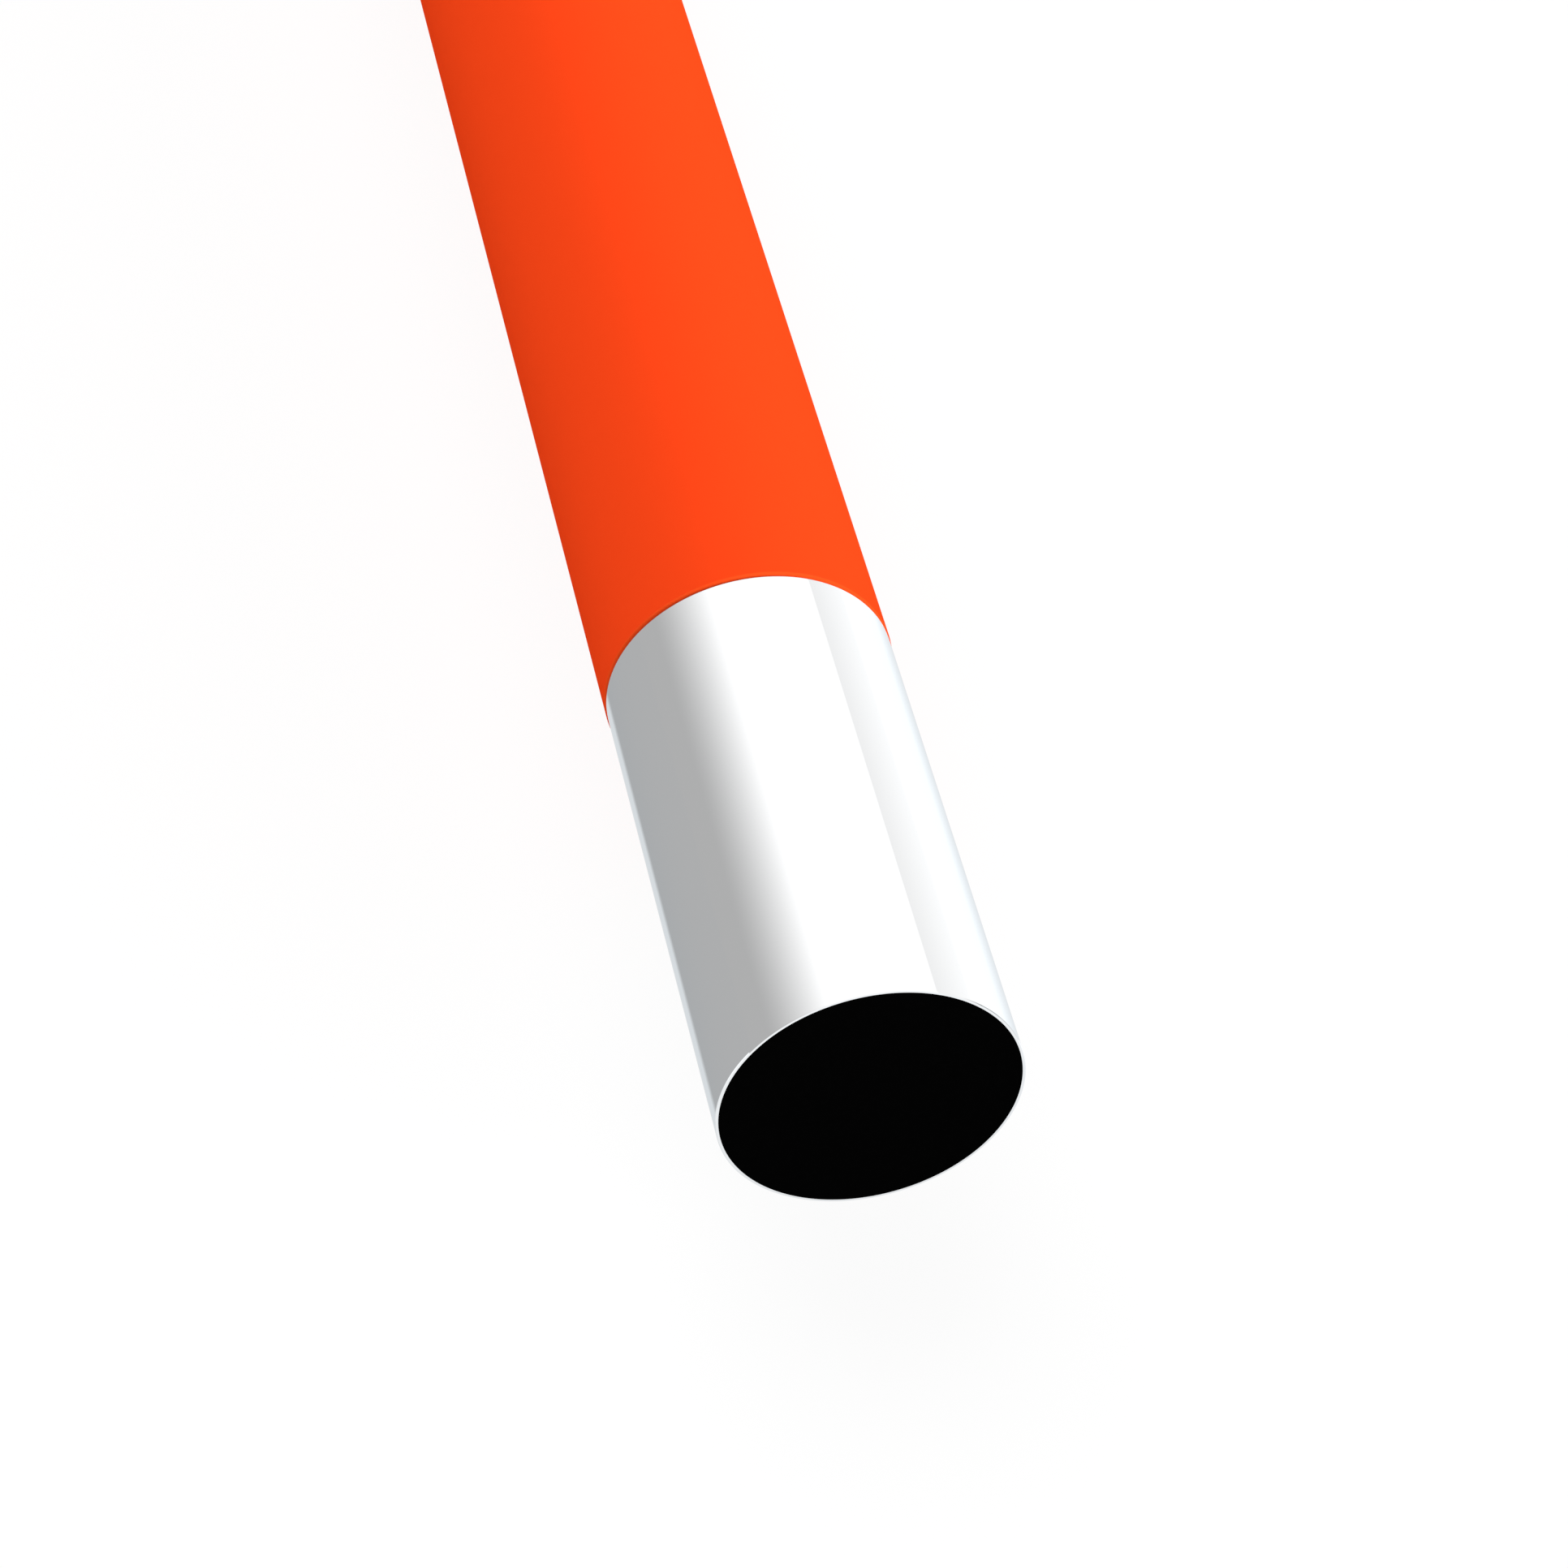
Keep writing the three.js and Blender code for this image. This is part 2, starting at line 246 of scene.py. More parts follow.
def turned(name, outline, steps):
    """A round piece: an outline of (x, radius) points, drawn by extruding one vertex and then spun.

    An outline that doesn't start and end on the axis is closed first, which leaves a bore.
    """
    bpy.ops.object.select_all(action="DESELECT")
    x, radius = outline[0]
    bpy.ops.mesh.primitive_plane_add(size=START_SIZE, location=(x, 0, radius))
    piece = bpy.context.object
    piece.name = name
    place_applied(piece)
    bpy.ops.object.mode_set(mode="EDIT")
    bpy.ops.mesh.select_mode(type="VERT")
    bpy.ops.mesh.select_all(action="SELECT")
    bpy.ops.mesh.merge(type="CENTER")
    for (x0, r0), (x1, r1) in zip(outline, outline[1:]):
        bpy.ops.mesh.extrude_region_move(TRANSFORM_OT_translate={"value": (x1 - x0, 0, r1 - r0)})
    solid = outline[0][1] == 0 and outline[-1][1] == 0
    if not solid:
        ends = [Vector((x, 0, r)) for x, r in (outline[0], outline[-1])]
        pick(piece, "VERT", lambda vert: min((vert.co - end).length for end in ends) < NEAR)
        bpy.ops.mesh.edge_face_add()
    bpy.ops.mesh.select_all(action="SELECT")
    bpy.ops.mesh.spin(steps=steps, angle=math.tau, center=(0, 0, 0), axis=ALONG)
    bpy.ops.mesh.select_all(action="SELECT")
    bpy.ops.mesh.remove_doubles(threshold=MERGE_GAP)
    bpy.ops.mesh.normals_make_consistent(inside=False)
    bpy.ops.object.mode_set(mode="OBJECT")
    return piece


def round_rims(piece, rims, width, segments=3):
    """Bevels the circular edges that lie at the given (x, radius) places."""
    only(piece)
    bpy.ops.object.mode_set(mode="EDIT")

    def on_a_rim(edge):
        return any(
            all(abs(vert.co.x - x) < NEAR and abs(across(vert.co) - radius) < NEAR for vert in edge.verts)
            for x, radius in rims)

    if not pick(piece, "EDGE", on_a_rim):
        raise RuntimeError(f"{piece.name} has no rim at {rims}")
    bpy.ops.mesh.bevel(offset=width, offset_type="OFFSET", segments=segments, affect="EDGES")
    bpy.ops.object.mode_set(mode="OBJECT")


def apply_modifier(piece, kind, **settings):
    """Adds a modifier, sets it and applies it."""
    only(piece)
    modifier = piece.modifiers.new(kind, kind)
    for name, value in settings.items():
        setattr(modifier, name, value)
    bpy.ops.object.modifier_apply(modifier=modifier.name)


def cut_away(piece, cutter):
    """Takes one object out of another, and removes it."""
    apply_modifier(piece, "BOOLEAN", operation="DIFFERENCE", solver="EXACT", object=cutter)
    bpy.data.objects.remove(cutter)


def soften(piece, width, segments=2, angle=40):
    """Rounds every edge that is sharper than an angle."""
    apply_modifier(
        piece, "BEVEL", width=width, segments=segments, limit_method="ANGLE", angle_limit=math.radians(angle),
        use_clamp_overlap=True, harden_normals=False)


def cross_hole(x, radius, length):
    """A round cutter across the cane."""
    bpy.ops.object.select_all(action="DESELECT")
    bpy.ops.mesh.primitive_cylinder_add(
        vertices=48, radius=radius, depth=length, location=(x, 0, 0), rotation=(math.pi / 2, 0, 0))
    cutter = bpy.context.object
    place_applied(cutter)
    return cutter


def flatten_below(piece):
    """Cuts the flat that the grip and its cap rest on."""
    only(piece)
    bpy.ops.object.mode_set(mode="EDIT")
    bpy.ops.mesh.select_all(action="SELECT")
    bpy.ops.mesh.bisect(
        plane_co=(0, 0, FLAT_Z), plane_no=(0, 0, -1), use_fill=True, clear_outer=True, threshold=MERGE_GAP)
    bpy.ops.object.mode_set(mode="OBJECT")


def smooth(piece, angle=35):
    """Smooth shading with crisp corners, where long faces keep their own direction."""
    only(piece)
    bpy.ops.object.shade_smooth_by_angle(angle=math.radians(angle))
    apply_modifier(piece, "WEIGHTED_NORMAL", mode="FACE_AREA", weight=100, keep_sharp=True)


def dress(piece, body, slot, material, *nodes):
    """Gives a finished piece its material and its body, and hides the CAD nodes that it stands for. The slot
    is not used.
    """
    piece.data.materials.clear()
    piece.data.materials.append(material)
    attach(piece, body)
    if nodes:
        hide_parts(*nodes)


# Finishes


class Socket:
    """A number from a shader node, for Python expressions: each operator adds its Math node."""

    def __init__(self, paint, socket):
        self.paint, self.socket = paint, socket

    def __add__(self, other):
        return self.paint.math("ADD", self, other)

    def __radd__(self, other):
        return self.paint.math("ADD", other, self)

    def __sub__(self, other):
        return self.paint.math("SUBTRACT", self, other)

    def __rsub__(self, other):
        return self.paint.math("SUBTRACT", other, self)

    def __mul__(self, other):
        return self.paint.math("MULTIPLY", self, other)

    def __rmul__(self, other):
        return self.paint.math("MULTIPLY", other, self)

    def __truediv__(self, other):
        return self.paint.math("DIVIDE", self, other)

    def __rtruediv__(self, other):
        return self.paint.math("DIVIDE", other, self)

    def __pow__(self, other):
        return self.paint.math("POWER", self, other)

    def __gt__(self, other):
        return self.paint.math("GREATER_THAN", self, other)

    def __lt__(self, other):
        return self.paint.math("LESS_THAN", self, other)

    def kept(self, low=0.0, high=1.0):
        """The number held between two limits."""
        return self.paint.math("MINIMUM", self.paint.math("MAXIMUM", self, low), high)

    def ramp(self, start, width):
        """0 up to a start, 1 from a width past it, and a straight rise between them."""
        return ((self - start) / width).kept()


class Paint:
    """A node tree that is being filled."""

    def __init__(self, tree):
        self.tree = tree
        tree.nodes.clear()

    def node(self, kind, settings=None, sockets=None, out=0):
        """Adds a node, sets it, fills its inputs with values or links, and gives one of its outputs."""
        node = self.tree.nodes.new("ShaderNode" + kind)
        for name, value in (settings or {}).items():
            setattr(node, name, value)
        for name, value in (sockets or {}).items():
            if isinstance(value, Socket):
                self.tree.links.new(value.socket, node.inputs[name])
            else:
                node.inputs[name].default_value = value
        return Socket(self, node.outputs[out]) if len(node.outputs) else None

    def math(self, operation, *values):
        """One Math node on numbers and sockets."""
        return self.node("Math", {"operation": operation}, dict(enumerate(values)))

    def colour_mix(self, share, first, second):
        """Mixes two colours, each a socket or three numbers."""
        first, second = (
            colour if isinstance(colour, Socket) else (*colour, 1.0) for colour in (first, second))
        # The Mix node's sockets repeat their names for each kind of value: 6, 7 and 2 are the colours'.
        return self.node("Mix", {"data_type": "RGBA"}, {0: share, 6: first, 7: second}, out=2)

    def place(self):
        """Object coordinates."""
        return self.node("TexCoord", out="Object")

    def split(self, vector):
        """A vector's x, y and z."""
        return [self.node("SeparateXYZ", None, {0: vector}, out=i) for i in range(3)]

    def stretched(self, vector, scale):
        """A vector scaled along x, y and z."""
        return self.node("Mapping", None, {"Vector": vector, "Scale": scale})

    def noise(self, vector, scale, detail=3.0):
        """Soft random values between 0 and 1."""
        return self.node(
            "TexNoise", None, {"Vector": vector, "Scale": scale, "Detail": detail, "Roughness": 0.55})

    def bump(self, height, strength, depth):
        """A normal that a height pattern tilts."""
        return self.node("Bump", None, {"Strength": strength, "Distance": depth, "Height": height})

    def surface(self, shader):
        """Makes a shader the material's surface."""
        self.node("OutputMaterial", None, {"Surface": shader})


def material(name):
    """A new material and its emptied node tree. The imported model's own materials hold the plain names."""
    made = bpy.data.materials.new(f"{name}_finish")
    made.use_nodes = True
    return made, Paint(made.node_tree)


def finish(name):
    """A finish that an earlier step has made."""
    return bpy.data.materials[f"{name}_finish"]


def polished_metal(colour):
    """Mirror-polished metal with faint polishing lines round it."""
    made, paint = material("polished_metal")
    lines = paint.noise(paint.stretched(paint.place(), (6000, 60, 60)), scale=1.0)
    paint.surface(paint.node("BsdfPrincipled", None, {
        "Base Color": (*colour, 1),
        "Metallic": 1.0,
        "Roughness": 0.028 + 0.02 * lines,
        "Specular Tint": (0.92, 0.95, 0.97, 1),
        "Normal": paint.bump(lines, strength=0.01, depth=0.00001),
    }))
    return made


def scaled(colour, factor):
    """A colour made lighter or darker, and never past full strength."""
    return tuple(min(1.0, channel * factor) for channel in colour)


def orange_film(colour, lip_end):
    """Very smooth, matt orange film with a trace of mottling, and a painted highlight that makes it a little
    lighter round its thin lip.
    """
    mottling, painted_lip_highlight = 0.015, 1.3
    made, paint = material("orange_film")
    here = paint.place()
    x, _, _ = paint.split(here)
    mottle = paint.noise(here, scale=900.0)
    body = paint.colour_mix(mottle, scaled(colour, 1 - mottling), scaled(colour, 1 + mottling))
    paint.surface(paint.node("BsdfPrincipled", None, {
        # The lip is painted lighter than the rest of the film: a painted highlight.
        "Base Color": paint.colour_mix(x < lip_end, body, scaled(colour, painted_lip_highlight)),
        "Roughness": 0.62 + 0.06 * mottle,
        "Specular IOR Level": 0.0,
        "Normal": paint.bump(mottle, strength=0.02, depth=0.00001),
    }))
    return made


def end_black(colour):
    """Deep black nylon, as flat as it looks."""
    grain_factor = 1.8
    made, paint = material("end_black")
    grain = paint.noise(paint.place(), scale=2500.0)
    paint.surface(paint.node("BsdfPrincipled", None, {
        "Base Color": paint.colour_mix(grain, colour, scaled(colour, grain_factor)),
        "Roughness": 0.85 + 0.1 * grain,
        "Specular IOR Level": 0.0,
        "Normal": paint.bump(grain, strength=0.05, depth=0.00001),
    }))
    return made


def white_paint(colour):
    """Semi-gloss white powder coat with its fine orange peel and faint rubbing along the cane."""
    worn_from, worn_slope, worn_share, worn_factor = 0.60, 5.0, 0.35, 0.93
    made, paint = material("white_paint")
    here = paint.place()
    peel = paint.noise(here, scale=1400.0, detail=2.0)
    rubs = paint.noise(paint.stretched(here, (9, 520, 520)), scale=1.0, detail=4.0)
    worn = ((rubs - worn_from) * worn_slope).kept()
    paint.surface(paint.node("BsdfPrincipled", None, {
        "Base Color": paint.colour_mix(worn_share * worn, colour, scaled(colour, worn_factor)),
        "Roughness": 0.34 + 0.08 * peel + 0.10 * worn,
        "Specular IOR Level": 0.35,
        "Normal": paint.bump(peel, strength=0.10, depth=0.00002),
    }))
    return made


def collar_plastic():
    """Moulded charcoal plastic with a fine spark-eroded grain."""
    made, paint = material("collar_plastic")
    here = paint.place()
    grain = paint.noise(here, scale=3800.0, detail=2.0)
    cloud = paint.noise(here, scale=160.0)
    paint.surface(paint.node("BsdfPrincipled", None, {
        "Base Color": paint.colour_mix(cloud, (0.0085, 0.0090, 0.0098), (0.0130, 0.0135, 0.0146)),
        "Roughness": 0.42 + 0.14 * grain,
        "Specular IOR Level": 0.16,
        "Normal": paint.bump(grain, strength=0.22, depth=0.00003),
    }))
    return made


def grip_rubber():
    """Matt black rubber with a trace of dust."""
    made, paint = material("grip_rubber")
    here = paint.place()
    grain = paint.noise(here, scale=2600.0)
    dust = paint.noise(here, scale=90.0)
    paint.surface(paint.node("BsdfPrincipled", None, {
        "Base Color": paint.colour_mix(dust, (0.0095, 0.0098, 0.0102), (0.0160, 0.0160, 0.0162)),
        "Roughness": 0.74 + 0.16 * grain,
        "Specular IOR Level": 0.12,
        "Normal": paint.bump(grain, strength=0.30, depth=0.00004),
    }))
    return made


def seal_rubber():
    """Plain black rubber of the seals and wipers."""
    made, paint = material("seal_rubber")
    grain = paint.noise(paint.place(), scale=1800.0)
    paint.surface(paint.node("BsdfPrincipled", None, {
        "Base Color": paint.colour_mix(grain, (0.0055, 0.0055, 0.0055), (0.010, 0.010, 0.010)),
        "Roughness": 0.65 + 0.15 * grain,
        "Normal": paint.bump(grain, strength=0.12, depth=0.00003),
    }))
    return made


def natural_nylon():
    """Natural nylon, waxy and slightly cloudy."""
    made, paint = material("natural_nylon")
    cloud = paint.noise(paint.place(), scale=240.0)
    paint.surface(paint.node("BsdfPrincipled", None, {
        "Base Color": paint.colour_mix(cloud, (0.60, 0.55, 0.44), (0.66, 0.62, 0.52)),
        "Roughness": 0.40 + 0.12 * cloud,
        "Normal": paint.bump(cloud, strength=0.05, depth=0.00005),
    }))
    return made


def lined_metal(name, colours, scale, roughness, strength):
    """Metal with fine tool lines: drawn along the cane or turned round it, as the scale says."""
    made, paint = material(name)
    here = paint.place()
    lines = paint.noise(paint.stretched(here, scale), scale=1.0, detail=4.0)
    cloud = paint.noise(here, scale=130.0)
    paint.surface(paint.node("BsdfPrincipled", None, {
        "Base Color": paint.colour_mix(cloud, *colours),
        "Metallic": 1.0,
        "Roughness": roughness + 0.16 * lines,
        "Normal": paint.bump(lines, strength, depth=0.00002),
    }))
    return made


# Pieces


class CANE_OT_tip(bpy.types.Operator):
    """Makes the black end face and the polished ferrule"""

    bl_idname = "cane.tip"
    bl_label = "Tip"
    lead = 0.0004
    stem = 0.0032

    def execute(self, context):
        colours = context.scene.cane_colours
        ferrule = self.ferrule(context.scene.cane_sizes)
        dress(ferrule, "lower", "polished_metal", polished_metal(colours.chrome), "tip_ferrule")
        face = self.end_face(context.scene.cane_sizes)
        dress(face, "lower", "black_nylon", end_black(colours.black), "tip_plug")
        return {"FINISHED"}

    def ferrule(self, sizes):
        """A bright length, its front ring, a countersunk bore, and the spigot with the seal's groove."""
        radius, shoulder = radius_of("tip_ferrule"), start_of("orange_sleeve") - FILM_GAP
        seat = radius - sizes.rim_width
        bevel, corner, spigot, seal_floor, seal_room = 0.00003, 0.0001, 0.0054, 0.0046, 0.0001
        seal_start, seal_end = start_of("tip_seal") - seal_room, end_of("tip_seal") + seal_room
        end = end_of("tip_ferrule")
        ferrule = turned("ferrule", [
            (0, seat), (0, radius - bevel), (bevel, radius),
            (shoulder - corner, radius), (shoulder, radius - corner), (shoulder, spigot),
            (seal_start, spigot), (seal_start, seal_floor), (seal_end, seal_floor), (seal_end, spigot),
            (end - self.lead, spigot), (end, spigot - self.lead), (end, self.stem),
            (seat - self.stem, self.stem)], sizes.steps)
        smooth(ferrule)
        return ferrule

    def end_face(self, sizes):
        """A plug whose flat black face fills the ferrule's front, with a cone and a stem behind it."""
        snug, end = 0.000004, end_of("tip_plug")
        seat, stem = radius_of("tip_ferrule") - sizes.rim_width, self.stem - snug
        face = turned("end_face", [
            (0, 0), (0, seat - snug), (seat - self.stem - snug, stem),
            (end - self.lead, stem), (end, stem - self.lead), (end, 0)], sizes.steps)
        smooth(face)
        return face


class CANE_OT_sleeve(bpy.types.Operator):
    """Makes the orange sleeve of the lower section"""

    bl_idname = "cane.sleeve"
    bl_label = "Orange sleeve"

    def execute(self, context):
        sizes, colours = context.scene.cane_sizes, context.scene.cane_colours
        radius, start, end = radius_of("orange_sleeve"), start_of("orange_sleeve"), end_of("orange_sleeve")
        bore = radius_of("lower_tube") + FILM_GAP
        sleeve = turned("sleeve", [(start, bore), (start, radius), (end, radius), (end, bore)], sizes.steps)
        round_rims(sleeve, [(start, radius)], sizes.lip_radius, segments=5)
        smooth(sleeve)
        film = orange_film(colours.orange, start + sizes.lip_radius)
        dress(sleeve, "lower", "orange_film", film, "orange_sleeve")
        return {"FINISHED"}


class CANE_OT_tubes(bpy.types.Operator):
    """Makes the white-painted tubes of the three upper sections"""

    bl_idname = "cane.tubes"
    bl_label = "White tubes"

    def execute(self, context):
        sizes, colours = context.scene.cane_sizes, context.scene.cane_colours
        coat = white_paint(colours.white)
        rounding, pin_hole = 0.00015, 0.0016
        for name, node, body in (
            ("white_tube_lower", "lower_middle_tube", "lower_middle"),
            ("white_tube_upper", "upper_middle_tube", "upper_middle"),
            ("white_tube_handle", "handle_tube", "handle"),
        ):
            start, end, radius = start_of(node), end_of(node), radius_of(node)
            bore = radius - sizes.wall
            rims = [(start, bore), (start, radius), (end, radius), (end, bore)]
            tube = turned(name, rims, sizes.steps)
            round_rims(tube, rims, rounding, segments=2)
            if node == "handle_tube":
                pin_low, pin_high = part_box("cap_pin")
                cut_away(tube, cross_hole((pin_low.x + pin_high.x) / 2, pin_hole, 3 * radius))
            smooth(tube)
            dress(tube, body, "white_paint", coat, node)
        return {"FINISHED"}


class CANE_OT_collars(bpy.types.Operator):
    """Makes the three fluted collars"""

    bl_idname = "cane.collars"
    bl_label = "Collars"

    def execute(self, context):
        sizes = context.scene.cane_sizes
        plastic = collar_plastic()
        for name, body, tube, sliding in (
            ("lower", "lower_middle", "lower_middle_tube", radius_of("orange_sleeve")),
            ("middle", "upper_middle", "upper_middle_tube", radius_of("lower_middle_tube")),
            ("upper", "handle", "handle_tube", radius_of("upper_middle_tube")),
        ):
            node = f"{name}_collar"
            collar = self.collar(f"collar_{name}", node, radius_of(tube), sliding, sizes)
            dress(collar, body, "collar_plastic", plastic, node)
        return {"FINISHED"}

    def collar(self, name, node, tube, sliding, sizes):
        """A ring with a chamfered mouth, a wiper groove, a tapered back and the flutes round it.

        It is glued on one tube, and the sliding tube runs through its guide with some clearance.
        """
        face, end, radius = start_of(node), end_of(node), radius_of(node)
        lip, taper, mouth, back_edge = 0.005, 0.006, 0.0007, 0.0003
        clearance, groove_depth, groove_width, margin, edge = 0.0002, 0.0007, 0.0016, 0.0025, 0.00012
        guide, socket = sliding + clearance, tube + GLUE_GAP
        groove, groove_start = guide + groove_depth, face + (lip - groove_width) / 2
        groove_end = groove_start + groove_width
        outline = [
            (face, guide), (face, radius - mouth), (face + mouth, radius), (end - taper, radius),
            (end, tube + back_edge), (end, socket), (face + lip, socket), (face + lip, guide),
            (groove_end, guide), (groove_end, groove), (groove_start, groove), (groove_start, guide),
        ]
        collar = turned(name, outline, sizes.steps)
        cut_away(collar, self.flutes(face + margin, end - taper - margin, radius, sizes))
        soften(collar, edge)
        smooth(collar)
        return collar

    def flutes(self, start, end, radius, sizes):
        """Round-ended cutters round the collar, each a ball whose far half is drawn out along it."""
        ball = sizes.flute_radius
        bpy.ops.object.select_all(action="DESELECT")
        bpy.ops.mesh.primitive_uv_sphere_add(
            segments=24, ring_count=12, radius=ball, location=(0, 0, 0), rotation=(0, math.pi / 2, 0))
        first = bpy.context.object
        place_applied(first)
        bpy.ops.object.mode_set(mode="EDIT")
        pick(first, "VERT", lambda vert: vert.co.x > MERGE_GAP)
        bpy.ops.transform.translate(value=(end - start - 2 * ball, 0, 0))
        bpy.ops.mesh.select_all(action="SELECT")
        bpy.ops.transform.translate(value=(start + ball, 0, radius + ball - sizes.flute_depth))
        bpy.ops.object.mode_set(mode="OBJECT")
        bars = [first]
        for turn in range(1, sizes.flutes):
            bar = first.copy()
            bar.data = first.data.copy()
            bar.data.transform(Matrix.Rotation(math.tau * turn / sizes.flutes, 4, "X"))
            bpy.context.scene.collection.objects.link(bar)
            bars.append(bar)
        bpy.ops.object.select_all(action="DESELECT")
        for bar in bars:
            bar.select_set(True)
        bpy.context.view_layer.objects.active = first
        bpy.ops.object.join()
        return first


class CANE_OT_grip(bpy.types.Operator):
    """Makes the ribbed rubber grip and the polished ring in front of it"""

    bl_idname = "cane.grip"
    bl_label = "Grip"
    groove_width = 0.0014

    def execute(self, context):
        sizes = context.scene.cane_sizes
        dress(self.grip(sizes), "handle", "grip_rubber", grip_rubber(), "grip")
        dress(self.ring(sizes), "handle", "polished_metal", finish("polished_metal"), "grip_ring")
        return {"FINISHED"}

    def grip(self, sizes):
        """A sleeve that widens towards the cap, with ring grooves near its ends and ribs between them."""
        start, end, bore = start_of("grip"), end_of("grip"), radius_of("handle_tube") + GLUE_GAP
        back = radius_of("grip")
        rounding, margin, pitch, clear, count = 0.0012, 0.007, 0.004, 0.003, 3
        front = back - rounding

        def radius_at(x):
            return front + (back - front) * (x - start) / (end - start)

        low_grooves = [start + margin + i * pitch for i in range(count)]
        high_grooves = [end - margin - self.groove_width - i * pitch for i in reversed(range(count))]
        field_start, field_end = low_grooves[-1] + self.groove_width + clear, high_grooves[0] - clear
        rows = round((field_end - field_start) / sizes.rib_length)
        ribs = [field_start + (field_end - field_start) * i / rows for i in range(rows + 1)]
        outline = [(start, bore), (start, radius_at(start))]
        for x in low_grooves:
            outline += self.ring_groove(x, radius_at)
        outline += [(x, radius_at(x)) for x in ribs]
        for x in high_grooves:
            outline += self.ring_groove(x, radius_at)
        outline += [(end, radius_at(end)), (end, bore)]
        grip = turned("grip_sleeve", outline, sizes.rib_columns)
        round_rims(grip, [(start, radius_at(start)), (end, radius_at(end))], rounding, segments=6)
        flatten_below(grip)
        self.raise_ribs(grip, field_start, field_end, rows, sizes)
        smooth(grip)
        return grip

    def ring_groove(self, x, radius_at):
        """The outline of one ring groove with sloping sides."""
        slope, depth = 0.0003, 0.0006
        end, floor = x + self.groove_width, radius_at(x) - depth
        return [(x, radius_at(x)), (x + slope, floor), (end - slope, floor), (end, radius_at(end))]

    def raise_ribs(self, grip, field_start, field_end, rows, sizes):
        """Raises every other face of the grip's field, in brick order, into a short rib."""
        column = math.tau / sizes.rib_columns
        row = (field_end - field_start) / rows
        clear_of_flat, facing_out = 0.0006, 0.9

        def is_rib(face):
            middle, lowest = face.calc_center_median(), min(vert.co.z for vert in face.verts)
            if not field_start < middle.x < field_end or lowest < FLAT_Z + clear_of_flat:
                return False
            if face.normal.y * middle.y + face.normal.z * middle.z < facing_out * across(middle):
                return False
            turn = math.floor(math.atan2(middle.z, middle.y) / column)
            return (turn + math.floor((middle.x - field_start) / row)) % 2 == 0

        only(grip)
        bpy.ops.object.mode_set(mode="EDIT")
        if not pick(grip, "FACE", is_rib):
            raise RuntimeError("the grip has no faces to raise")
        bpy.ops.mesh.inset(thickness=sizes.rib_height, depth=sizes.rib_height, use_individual=True)
        bpy.ops.object.mode_set(mode="OBJECT")

    def ring(self, sizes):
        """The polished ring that closes the grip's lower end."""
        start, end, bore = start_of("grip_ring"), end_of("grip_ring"), radius_of("handle_tube") + GLUE_GAP
        back, taper, rounding = radius_of("grip_ring"), 0.0006, 0.0003
        front = back - taper
        ring = turned("ring", [(start, bore), (start, front), (end, back), (end, bore)], sizes.steps)
        round_rims(ring, [(start, front), (end, back)], rounding, segments=4)
        smooth(ring)
        return ring


class CANE_OT_cap(bpy.types.Operator):
    """Makes the cap on the handle's end, with its strap eye"""

    bl_idname = "cane.cap"
    bl_label = "Cap"

    def execute(self, context):
        sizes = context.scene.cane_sizes
        start, end, radius = start_of("grip_cap"), end_of("grip_cap"), radius_of("grip_cap")
        seam, play, rim, lead, top, chamfer = 0.00005, 0.0001, 0.004, 0.0008, 0.010, 0.0015
        dish, dish_rim, dish_slope, rounding, edge = 0.0005, 0.0016, 0.0006, 0.0005, 0.0003
        spigot, rim_start = radius_of("handle_tube") - sizes.wall - play, end_of("grip") + seam
        corners = [(rim_start + rim, radius), (end - chamfer, top + chamfer), (end, top)]
        cap = turned("cap", [
            (start, 0), (start, spigot - lead), (start + lead, spigot), (rim_start, spigot),
            (rim_start, radius), *corners,
            (end, top - dish_rim), (end - dish, top - dish_rim - dish_slope), (end - dish, 0)], sizes.steps)
        round_rims(cap, corners, rounding, segments=4)
        flatten_below(cap)
        cut_away(cap, self.eye(end, radius))
        soften(cap, edge, segments=3)
        smooth(cap)
        dress(cap, "handle", "collar_plastic", finish("collar_plastic"), "grip_cap")
        return {"FINISHED"}

    def eye(self, end, radius):
        """The cutter of the slot that a wrist strap goes through, with rounded corners."""
        bridge, length, height, corner = 0.0045, 0.006, 0.012, 0.0018
        bpy.ops.object.select_all(action="DESELECT")
        bpy.ops.mesh.primitive_cube_add(
            size=1, location=(end - bridge - length / 2, 0, 0), scale=(length, 3 * radius, height))
        cutter = bpy.context.object
        place_applied(cutter)
        bpy.ops.object.mode_set(mode="EDIT")
        pick(cutter, "EDGE", lambda edge: abs(edge.verts[0].co.y - edge.verts[1].co.y) > radius)
        bpy.ops.mesh.bevel(offset=corner, segments=8, affect="EDGES")
        bpy.ops.object.mode_set(mode="OBJECT")
        return cutter


